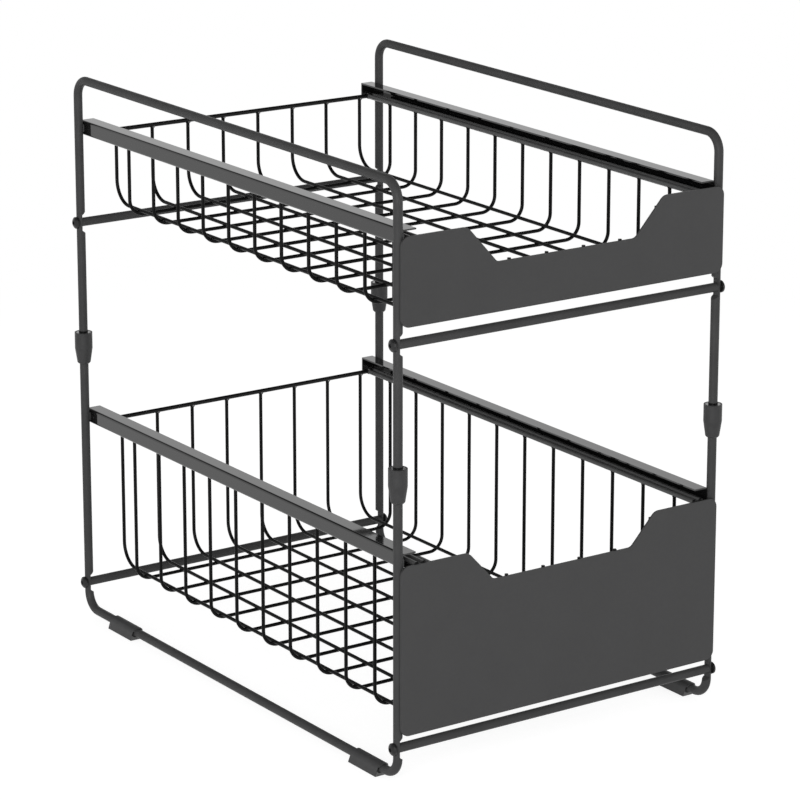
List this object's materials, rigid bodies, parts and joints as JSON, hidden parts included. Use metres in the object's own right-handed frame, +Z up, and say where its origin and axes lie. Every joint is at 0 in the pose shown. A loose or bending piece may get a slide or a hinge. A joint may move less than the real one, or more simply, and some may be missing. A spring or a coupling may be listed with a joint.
{
  "type": "under sink organizer",
  "caption": "Freestanding wire rack with tiered baskets, each with a notched front panel, that slide forward on side rails; bent tube frame in stacked halves.",
  "frame": {"origin": "on the floor under the centre of the overall box, in the plane of the soles of the feet", "axes": "+Z up, -Y is the front that the baskets slide out of, +X to the right seen from the front"},
  "size_m": [0.26, 0.3978, 0.3893],
  "materials": {
    "frame_coat": "satin dark grey powder coat",
    "rail_coat": "glossy dark grey powder coat on sheet steel",
    "wire_coat": "satin dark grey powder coat on wire",
    "panel_coat": "matt dark grey powder coat on sheet steel",
    "screw_coat": "blackened button head screw",
    "black_plastic": "dark grey moulded plastic"
  },
  "bodies": {
    "frame": {"lower_frame_left": "frame_coat", "lower_rail_left": "rail_coat", "lower_frame_right": "frame_coat", "lower_rail_right": "rail_coat", "lower_crossbar_front": "frame_coat", "lower_crossbar_rear": "frame_coat", "upper_frame_left": "frame_coat", "upper_rail_left": "rail_coat", "upper_frame_right": "frame_coat", "upper_rail_right": "rail_coat", "upper_crossbar_front": "frame_coat", "upper_crossbar_rear": "frame_coat", "front_sleeve_left": "black_plastic", "front_foot_left": "black_plastic", "front_sleeve_right": "black_plastic", "front_foot_right": "black_plastic", "rear_sleeve_left": "black_plastic", "rear_foot_left": "black_plastic", "rear_sleeve_right": "black_plastic", "rear_foot_right": "black_plastic", "crossbar_screws": "screw_coat"},
    "lower_basket": {"lower_front_panel": "panel_coat", "lower_runner_rod": "wire_coat", "lower_rim_rod_right": "wire_coat", "lower_rim_rod_left": "wire_coat", "lower_cross_wires": "wire_coat", "lower_long_wire_1": "wire_coat", "lower_long_wire_2": "wire_coat", "lower_long_wire_3": "wire_coat", "lower_long_wire_4": "wire_coat", "lower_long_wire_5": "wire_coat", "lower_long_wire_6": "wire_coat", "lower_long_wire_7": "wire_coat", "lower_long_wire_8": "wire_coat"},
    "upper_basket": {"upper_front_panel": "panel_coat", "upper_runner_rod": "wire_coat", "upper_rim_rod_right": "wire_coat", "upper_rim_rod_left": "wire_coat", "upper_cross_wires": "wire_coat", "upper_long_wire_1": "wire_coat", "upper_long_wire_2": "wire_coat", "upper_long_wire_3": "wire_coat", "upper_long_wire_4": "wire_coat", "upper_long_wire_5": "wire_coat", "upper_long_wire_6": "wire_coat", "upper_long_wire_7": "wire_coat", "upper_long_wire_8": "wire_coat"}
  },
  "joints": [
    {"name": "lower_basket_slide", "type": "slide", "parent": "frame", "child": "lower_basket", "axis": [0, -1, 0], "range_m": [0, 0.26]},
    {"name": "upper_basket_slide", "type": "slide", "parent": "frame", "child": "upper_basket", "axis": [0, -1, 0], "range_m": [0, 0.26]}
  ]
}
